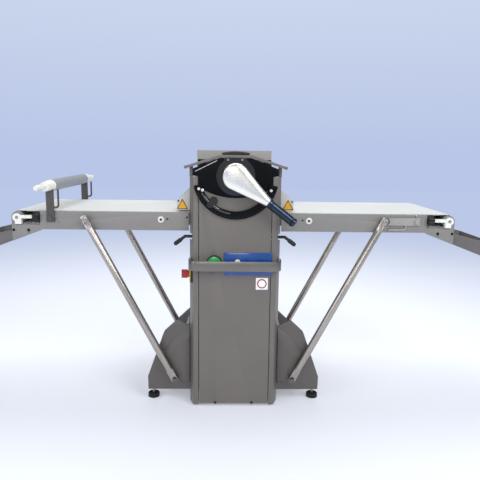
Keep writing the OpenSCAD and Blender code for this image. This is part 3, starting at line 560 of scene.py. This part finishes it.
# %% [markdown]
# ## The gap lever
# The lever is a polished shell, round over its axis and drawn down to a slim neck. It
# could be carved with a subdivision cage, but its outline is a rule: an arc over the
# axis, and the two straight lines that leave it as tangents. So it is lofted: sections
# across the arm, each a flattened oval, follow that rule at any size of lever.

# %% Loft the shell, and turn the grip
hub = Vector(joints["gap_lever_turn"]["pos_m"])
LEVER_DROP = math.radians(37.7)
arm_way = Vector((math.cos(LEVER_DROP), 0, -math.sin(LEVER_DROP)))
arm_side = Vector((math.sin(LEVER_DROP), 0, math.cos(LEVER_DROP)))
shell_high = Vector(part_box("gap_lever")[1])
grip_low, grip_high = (Vector(c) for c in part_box("lever_grip"))
grip_y = (grip_low.y + grip_high.y) / 2
HEAD_R, NECK_R, NECK_AT = 60 * MM, 19 * MM, 184 * MM
HEAD_FRONT, HEAD_BACK, NECK_DEEP = 20 * MM, 22 * MM, 19 * MM
BOSS_R, BOSS_FROM = 28 * MM, 18 * MM
GRIP_R, GRIP_END = 20 * MM, 335.9 * MM
AROUND = 40


def half_width(t):
    """Half the shell's width at t metres from the hub: head arc, then its tangent."""
    lean = math.asin((HEAD_R - NECK_R) / NECK_AT)
    touch = HEAD_R * math.sin(lean)
    if t < touch:
        return math.sqrt(max(HEAD_R ** 2 - t ** 2, 0.0))
    return HEAD_R * math.cos(lean) - (t - touch) * math.tan(lean)


def section(t):
    """One flattened oval across the arm, t metres from the hub along it."""
    width = max(half_width(t), 0.8 * MM)
    share = min(max(t / NECK_AT, 0.0), 1.0)
    thin = min(1.0, math.sqrt(width / HEAD_BACK))
    front = (HEAD_FRONT * (1 - share) + NECK_DEEP * share) * thin
    back = (HEAD_BACK * (1 - share) + NECK_DEEP * share) * thin
    power = 0.72 * (1 - share) + 1.0 * share
    points = []
    for i in range(AROUND):
        c, s = math.cos(2 * math.pi * i / AROUND), math.sin(2 * math.pi * i / AROUND)
        across = math.copysign(abs(c) ** power, c) * width
        deep = -math.copysign(abs(s) ** power, s) * (front if s > 0 else back)
        points.append(hub + arm_way * t + arm_side * across + Vector((0, grip_y - hub.y + deep, 0)))
    return points


def lever_shell():
    """Lofts the sections from the head's tip to the neck, with a boss towards the plate."""
    shape = bmesh.new()
    head = [-HEAD_R * math.cos(math.radians(6 * i)) for i in range(1, 15)]
    arm = [0.006 + (NECK_AT - 0.006) * i / 16 for i in range(17)]
    rings = [[shape.verts.new(p) for p in section(t)] for t in head + arm]
    for low, high in zip(rings, rings[1:]):
        for i in range(AROUND):
            j = (i + 1) % AROUND
            shape.faces.new((low[i], low[j], high[j], high[i]))
    shape.faces.new(rings[0])
    shape.faces.new(rings[-1])
    boss_long = shell_high.y - grip_y - BOSS_FROM
    boss = [(0.0, 0.0), (0.0, BOSS_R), (boss_long, BOSS_R), (boss_long, 0.0)]
    turn(shape, boss, Vector((hub.x, grip_y + BOSS_FROM, hub.z)), (0, 1, 0), 40)
    return show("lever_shell", shape, "chrome", "gap_lever", 50)


def lever_grip_piece():
    """A turned grip with a flange and a groove at each end."""
    shape = bmesh.new()
    start, end, r = NECK_AT, GRIP_END, GRIP_R
    low_flange = [(start - 0.001, 0.0), (start - 0.001, r - 0.001), (start + 0.001, r + 0.0018),
                  (start + 0.013, r + 0.0018), (start + 0.015, r)]
    low_groove = [(start + 0.016, r - 0.0015), (start + 0.018, r - 0.0015), (start + 0.020, r)]
    top_groove = [(end - 0.024, r), (end - 0.022, r - 0.0015), (end - 0.020, r - 0.0015)]
    top_flange = [(end - 0.018, r + 0.0008), (end - 0.006, r + 0.0008), (end - 0.002, r - 0.002),
                  (end, r - 0.008), (end, 0.0)]
    profile = low_flange + low_groove + top_groove + top_flange
    turn(shape, profile, Vector((hub.x, grip_y, hub.z)), arm_way, 48)
    return show("lever_grip_finished", shape, "grip_painted_reflection", "gap_lever")


# The grip is polished steel; its dark blue-grey base colour is a painted reflection, standing for the dark,
# bluish surroundings that it mirrors.
finishes["grip_painted_reflection"] = polished("polished_steel_painted_dark_reflection", "#2E3642", "#3D4856", 0.16)
shell, grip = lever_shell(), lever_grip_piece()
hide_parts("gap_lever")
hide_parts("lever_grip")
print("lever reach mm", round(1000 * (grip_high.x - hub.x)))

# %% [markdown]
# ## Fasteners by Geometry Nodes
# Bolts repeat, so one tree makes them all. It puts a tapered head with a hex socket on
# every point of a small mesh, realises the instances and sets their material. The
# heads face the operator, or away from them on the rear side. Radius and height are
# inputs, set by their socket identifiers before the object is first evaluated.

# %% Build the bolt tree and scatter the bolts
def end_tree(tree, instances, finish_socket, output_name):
    """Every tree ends alike: real geometry, then its material, then the way out."""
    real = add(tree, "GeometryNodeRealizeInstances", Geometry=instances)
    coated = add(tree, "GeometryNodeSetMaterial", Geometry=real.outputs["Geometry"], Material=finish_socket)
    way_out = add(tree, "NodeGroupOutput")
    tree.links.new(coated.outputs["Geometry"], way_out.inputs[output_name])
    return tree


def bolt_tree():
    """A cone with a hex socket cut out of it, on every point given."""
    tree = bpy.data.node_groups.new("bolt_heads", "GeometryNodeTree")
    face = tree.interface
    face.new_socket("Points", in_out="INPUT", socket_type="NodeSocketGeometry")
    for name, value in (("Radius", 0.005), ("Height", 0.003), ("Turn", 0.0)):
        face.new_socket(name, in_out="INPUT", socket_type="NodeSocketFloat").default_value = value
    face.new_socket("Finish", in_out="INPUT", socket_type="NodeSocketMaterial")
    face.new_socket("Bolts", in_out="OUTPUT", socket_type="NodeSocketGeometry")
    given = add(tree, "NodeGroupInput").outputs
    slim = add(tree, "ShaderNodeMath", {"operation": "MULTIPLY"}, _0=given["Radius"], _1=0.82)
    cone = add(tree, "GeometryNodeMeshCone", Vertices=20, Depth=given["Height"])
    tree.links.new(given["Radius"], cone.inputs["Radius Bottom"])
    tree.links.new(slim.outputs["Value"], cone.inputs["Radius Top"])
    deep = add(tree, "ShaderNodeMath", {"operation": "MULTIPLY"}, _0=given["Height"], _1=1.4)
    wide = add(tree, "ShaderNodeMath", {"operation": "MULTIPLY"}, _0=given["Radius"], _1=0.45)
    socket = add(tree, "GeometryNodeMeshCylinder", Vertices=6, Radius=wide.outputs["Value"],
                 Depth=deep.outputs["Value"])
    lift = add(tree, "ShaderNodeCombineXYZ", Z=given["Height"])
    raised = add(tree, "GeometryNodeTransform", Geometry=socket.outputs["Mesh"],
                 Translation=lift.outputs["Vector"])
    carved = add(tree, "GeometryNodeMeshBoolean", {"operation": "DIFFERENCE"}, _0=cone.outputs["Mesh"])
    tree.links.new(raised.outputs["Geometry"], carved.inputs[1])
    tilt = add(tree, "ShaderNodeCombineXYZ", X=given["Turn"])
    copies = add(tree, "GeometryNodeInstanceOnPoints", Points=given["Points"],
                 Instance=carved.outputs["Mesh"], Rotation=tilt.outputs["Vector"])
    return end_tree(tree, copies.outputs["Instances"], given["Finish"], "Bolts")


bolts_tree = bolt_tree()


def from_tree(name, tree, points, values, body):
    """Runs a tree on a few points and keeps the result as a plain, finished mesh."""
    mesh = bpy.data.meshes.new(name)
    mesh.from_pydata([tuple(p) for p in points], [], [])
    piece = bpy.data.objects.new(name, mesh)
    bpy.context.collection.objects.link(piece)
    modifier = piece.modifiers.new("tree", "NODES")
    modifier.node_group = tree
    for item in tree.interface.items_tree:
        if item.item_type == "SOCKET" and item.in_out == "INPUT" and item.name in values:
            modifier[item.identifier] = values[item.name]
    mesh_from_modifiers(piece, name)
    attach(piece, body)
    return piece


def bolts(name, points, radius_mm, height_mm, finish_name, body, rear=False):
    """Bolt heads at the points, facing the operator, or away from them with rear."""
    values = {"Radius": radius_mm * MM, "Height": height_mm * MM,
              "Turn": math.radians(-90 if rear else 90), "Finish": finishes[finish_name]}
    return from_tree(name, bolts_tree, points, values, body)


print("bolt tree nodes", len(bolts_tree.nodes))

# %% [markdown]
# ## Where the bolts go
# The tables are mirror images, and so are the front and rear rails, so each place is
# given once for the front left and mirrored. Positions are in millimetres: along X,
# then up Z. The y of each head comes from the face of the node that it is screwed to.

# %% Screw heads on tables, struts, guards and housing
def front_face(node):
    """The operator-side face of a node, in metres."""
    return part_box(node)[0][1]


def mirrored(points_mm, y, way):
    """(x, z) pairs in millimetres on the left become 3-D points on the left or right."""
    return [(way * x * MM, y, z * MM) for x, z in points_mm]


finishes["black_steel"] = brushed("blackened_steel", "#17181A", "#2A2C2F", 0.4, EVEN)
NOSE_BOLTS = [(-1025, 846), (-957, 846)]
BRACKET_BOLTS = [(-852, 927), (-822, 888)]
ARM_PIVOT = (-853, 902)
FORK_BOLT = (-690, 902)
RAIL_DOTS = [(-315, 903), (-224, 912)]
GUARD_BOLT = (-265, 988)


def bolts_both_sides(name, places, node, way, radius_mm, height_mm, finish_name, body):
    """The same heads on the front and on the rear of a node."""
    y_front = front_face(node)
    bolts(name, mirrored(places, y_front, way), radius_mm, height_mm, finish_name, body)
    bolts(name + "_rear", mirrored(places, -y_front, way), radius_mm, height_mm, finish_name, body, True)


for side, way in (("left", 1), ("right", -1)):
    rail, struts, guard, table = f"{side}_table_frame", f"{side}_struts", f"{side}_guard", f"{side}_table"
    bolts_both_sides(f"{side}_nose_bolts", NOSE_BOLTS, rail, way, 6.5, 3.0, "black_steel", table)
    rail_bolts = BRACKET_BOLTS if side == "left" else [ARM_PIVOT] + BRACKET_BOLTS
    bolts_both_sides(f"{side}_rail_bolts", rail_bolts, rail, way, 7.5, 4.0, "steel", table)
    bolts(f"{side}_rail_dots", mirrored(RAIL_DOTS, front_face(rail), way), 4.5, 2.0, "black_steel", table)
    bolts_both_sides(f"{side}_fork_bolts", [FORK_BOLT], struts, way, 8.0, 4.5, "steel", struts)
    guard_bolt = mirrored([GUARD_BOLT], front_face(guard), way)
    bolts(f"{side}_guard_bolts", guard_bolt, 4.0, 2.0, "black_steel", guard)

FROM_EDGE, FROM_FOOT, PITCH_M, ROWS = 14 * MM, 24 * MM, 0.25, 5
housing_low, housing_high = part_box("rear_housing")
for name, way in (("left", -1), ("right", 1)):
    x, foot = way * (housing_high[0] - FROM_EDGE), housing_low[2] + FROM_FOOT
    column = [(x, housing_high[1], foot + i * PITCH_M) for i in range(ROWS)]
    bolts(f"rear_housing_screws_{name}", column, 5.0, 2.5, "black_steel", "machine", True)
print("screws placed")

# %% [markdown]
# ## Rail caps
# A white plastic cap with a dark middle closes the hole that the table's tie bar comes
# through. It is turned like the pin's handles.

# %% Turn a cap for both rails of each table
CAP_X, CAP_Z = 0.345, 0.901
DISHED = [(0.0, 0.0), (0.0, 0.0155), (0.0015, 0.0155), (0.0055, 0.0135), (0.0065, 0.011), (0.0045, 0.0085),
          (0.0045, 0.0)]
CENTRE = [(0.0044, 0.0), (0.0044, 0.006), (0.0072, 0.0055), (0.0078, 0.0035), (0.0078, 0.0)]


def on_both_rails(side, way, part, profile, steps, finish_name):
    """A turned piece on the front and the rear rail of one table."""
    shape = bmesh.new()
    y_front = front_face(f"{side}_table_frame")
    for y, out in ((y_front, -1), (-y_front, 1)):
        turn(shape, profile, Vector((way * -CAP_X, y, CAP_Z)), (0, out, 0), steps)
    return show(f"{side}_{part}", shape, finish_name, f"{side}_table")


for side, way in (("left", 1), ("right", -1)):
    on_both_rails(side, way, "rail_caps", DISHED, 32, "white_plastic")
    on_both_rails(side, way, "cap_centres", CENTRE, 24, "black_plastic")
print("caps on both tables")

# %% [markdown]
# ## Plates, lines and labels
# The control end carries thin flat things: a painted highlight, a light strip that
# stands for the lit edge of a vent slit, a dark window, a plain label and a yellow
# triangle without any symbol. Each is an outline in millimetres, pushed out of the face
# that it sticks to by its own thickness.

# %% A flat piece from its outline
OFF_FACE = 0.05 * MM


def flat_piece(name, outlines_mm, y_face, thick_mm, finish_name, body):
    """Extrudes closed (x, z) outlines from a face towards the operator."""
    shape = bmesh.new()
    for outline in outlines_mm:
        back = [shape.verts.new((x * MM, y_face - OFF_FACE, z * MM)) for x, z in outline]
        base = shape.faces.new(back)
        pushed = bmesh.ops.extrude_face_region(shape, geom=[base])["geom"]
        moved = [v for v in pushed if isinstance(v, bmesh.types.BMVert)]
        bmesh.ops.translate(shape, verts=moved, vec=(0, -thick_mm * MM, 0))
    return show(name, shape, finish_name, body)


def band(x0, z0, x1, z1, width):
    """The outline of a straight line of some width, in millimetres."""
    along = Vector((x1 - x0, z1 - z0)).normalized() * width / 2
    side = Vector((-along.y, along.x))
    upper = [(x0 + side.x, z0 + side.y), (x1 + side.x, z1 + side.y)]
    return upper + [(x1 - side.x, z1 - side.y), (x0 - side.x, z0 - side.y)]


def arc_band(cx, cz, radius, width, start_deg, end_deg, steps=24):
    """The outline of a line of some width bent along an arc, in millimetres."""
    angles = [math.radians(start_deg + (end_deg - start_deg) * i / steps) for i in range(steps + 1)]
    inner, outer = radius - width / 2, radius + width / 2
    rim = [(cx + outer * math.cos(a), cz + outer * math.sin(a)) for a in angles]
    return rim + [(cx + inner * math.cos(a), cz + inner * math.sin(a)) for a in reversed(angles)]


HUB_Z = round(hub.z / MM, 3)
control_face = front_face("control_plate")
finishes["window_navy"] = moulded("window_navy_film", "#0A1238", "#111C50", 0.12, coat=1.0)
finishes["gloss_black"] = moulded("gloss_black_enamel", "#030304", "#07080B", 0.1, coat=1.0)
window = [(-50, 1174), (44, 1174), (48, 1187), (-54, 1187)]
flat_piece("head_window", [window], control_face, 0.8, "window_navy", "machine")
# A painted highlight: a thin light strip that stands for the lit edge of a vent slit.
line = band(-184, 1127, -86, 1176, 2.6)
flat_piece("head_slit_highlight", [line], control_face, 0.6, "highlight_grey", "machine")
head_screws = [(x * MM, control_face, 1181 * MM) for x in (-35, 28)]
bolts("head_screws", head_screws, 5.0, 3.0, "steel", "machine")
print("control end dressed")

# %% [markdown]
# ## Hub disc, button collar and lamp button
# A black enamelled disc behind the lever hides the hole that its shaft comes through. A
# collar stands round the start button, with room for it to be pressed. Both are turned
# rings, open in the middle. The small lamp button is turned too, and closed.

# %% Turn the hub disc and the collar of the start button
def turned_ring(name, x_mm, z_mm, y_face, inner_mm, outer_mm, thick_mm, finish_name):
    """A ring on a face towards the operator; its outer rim is broken."""
    shape = bmesh.new()
    soft = min(1.2, thick_mm / 3)
    profile = [(0.0, inner_mm), (thick_mm, inner_mm), (thick_mm, outer_mm - soft),
               (thick_mm - soft, outer_mm), (0.0, outer_mm), (0.0, inner_mm)]
    centre = Vector((x_mm * MM, y_face, z_mm * MM))
    turn(shape, [(a * MM, r * MM) for a, r in profile], centre, (0, -1, 0), 72)
    return show(name, shape, finish_name, "machine")


turned_ring("hub_disc", 0, HUB_Z, control_face, 14, 88, 2.4, "gloss_black")
panel_face = front_face("front_panel")
turned_ring("button_collar", -95, 708, panel_face, 32.2, 36, 2.4, "black_plastic")
lamp_face = front_face("lamp_plate")
turned_ring("lamp_button", 12, 713, lamp_face, 0.0, 13, 5.0, "white_plastic")
print("hub disc, collar and lamp button turned")

# %% [markdown]
# ## Scale marks
# The ring that limits the lever has a scale of short marks. Beside its slot lies a
# thin light strip, a painted highlight that stands for the lit edge of the slot. The
# marks repeat round an arc, so Geometry Nodes place them: a small bar is instanced on
# each point of an arc curve, and it is turned to point outwards.

# %% Build the tick tree and the painted slot highlight
def tick_tree():
    """Small bars on an arc, each turned to point away from the arc's centre."""
    tree = bpy.data.node_groups.new("scale_ticks", "GeometryNodeTree")
    face = tree.interface
    face.new_socket("Points", in_out="INPUT", socket_type="NodeSocketGeometry")
    sizes = {"Radius": 0.18, "Start": 3.4, "Sweep": 2.4, "Long": 0.006, "Wide": 0.001, "Deep": 0.0006}
    for name, value in sizes.items():
        face.new_socket(name, in_out="INPUT", socket_type="NodeSocketFloat").default_value = value
    face.new_socket("Count", in_out="INPUT", socket_type="NodeSocketInt").default_value = 25
    face.new_socket("Place", in_out="INPUT", socket_type="NodeSocketVector")
    face.new_socket("Finish", in_out="INPUT", socket_type="NodeSocketMaterial")
    face.new_socket("Marks", in_out="OUTPUT", socket_type="NodeSocketGeometry")
    given = add(tree, "NodeGroupInput").outputs
    arc = add(tree, "GeometryNodeCurveArc", {"mode": "RADIUS"}, Resolution=given["Count"],
              Radius=given["Radius"])
    tree.links.new(given["Start"], arc.inputs["Start Angle"])
    tree.links.new(given["Sweep"], arc.inputs["Sweep Angle"])
    size = add(tree, "ShaderNodeCombineXYZ", X=given["Long"], Y=given["Wide"], Z=given["Deep"])
    bar = add(tree, "GeometryNodeMeshCube", Size=size.outputs["Vector"])
    where = add(tree, "GeometryNodeInputPosition")
    outward = add(tree, "FunctionNodeAlignRotationToVector", {"axis": "X"}, Vector=where.outputs["Position"])
    copies = add(tree, "GeometryNodeInstanceOnPoints", Points=arc.outputs["Curve"],
                 Instance=bar.outputs["Mesh"], Rotation=outward.outputs["Rotation"])
    quarter = (math.radians(90), 0, 0)
    upright = add(tree, "GeometryNodeTransform", Geometry=copies.outputs["Instances"], Rotation=quarter,
                  Translation=given["Place"])
    return end_tree(tree, upright.outputs["Geometry"], given["Finish"], "Marks")


finishes["scale_mark"] = moulded("engraved_scale_mark", "#4A4C50", "#585A5E", 0.4)
ring_face = front_face("scale_ring")
place = (0.0, ring_face - 0.0002, HUB_Z * MM)
ticks = {"Radius": 0.187, "Start": math.radians(205), "Sweep": math.radians(130), "Count": 27,
         "Long": 0.005, "Wide": 0.001, "Deep": 0.0006, "Place": place, "Finish": finishes["scale_mark"]}
from_tree("scale_ticks", tick_tree(), [(0, 0, 0)], ticks, "machine")
# A painted highlight: thin light strips in two arcs that stand for the lit edge of the ring's slot.
bright = [arc_band(0, HUB_Z, 165, 1.8, 213, 243), arc_band(0, HUB_Z, 165, 1.8, 318, 326, 8)]
flat_piece("scale_slot_highlight", bright, ring_face, 0.6, "highlight_grey", "machine")
print("scale marked")

# %% [markdown]
# ## Signs without words
# Machines like this carry pictogram signs. Here they are plain: a yellow triangle with a
# black rim on each guard, and a white label with a red ring on the front panel. A thin
# yellow line runs down the edge of the black switch plate.

# %% Triangles and the ring label
def triangle(cx, z_base, wide, shrink=0.0):
    """An upright triangle's outline in millimetres, with its corners cut a little."""
    half, tall = wide / 2 - 1.7 * shrink, wide * 0.88 - 3 * shrink
    low = z_base + shrink
    nick = wide * 0.06
    return [(cx - half + nick, low), (cx + half - nick, low), (cx + half - nick / 2, low + nick),
            (cx + nick / 2, low + tall), (cx - nick / 2, low + tall), (cx - half + nick / 2, low + nick)]


FILM = 0.5 * MM
SIGN_X, SIGN_Z, SIGN_WIDE, SIGN_RIM = 246, 950, 52, 3.2
finishes["sign_yellow"] = moulded("sign_film_yellow", "#D99A06", "#E8AC12", 0.35)
for side, way in (("left", -1), ("right", 1)):
    guard = f"{side}_guard"
    y_guard = front_face(guard)
    rim = triangle(way * SIGN_X, SIGN_Z, SIGN_WIDE)
    field = triangle(way * SIGN_X, SIGN_Z, SIGN_WIDE, SIGN_RIM)
    flat_piece(f"{side}_sign_rim", [rim], y_guard, 0.5, "black_plastic", guard)
    flat_piece(f"{side}_sign_field", [field], y_guard - FILM, 0.4, "sign_yellow", guard)
label = [(99, 582), (155, 582), (155, 638), (99, 638)]
flat_piece("ring_label", [label], panel_face, 0.5, "label_white", "machine")
turned_ring("ring_on_label", 127, 610, panel_face - FILM, 17, 22.5, 0.5, "red_plastic")
edge = front_face("switch_base")
stripe = [(-210.4, 613), (-206.8, 613), (-206.8, 687), (-210.4, 687)]
flat_piece("switch_stripe", [stripe], edge, 0.4, "yellow_plastic", "machine")
print("signs in place")
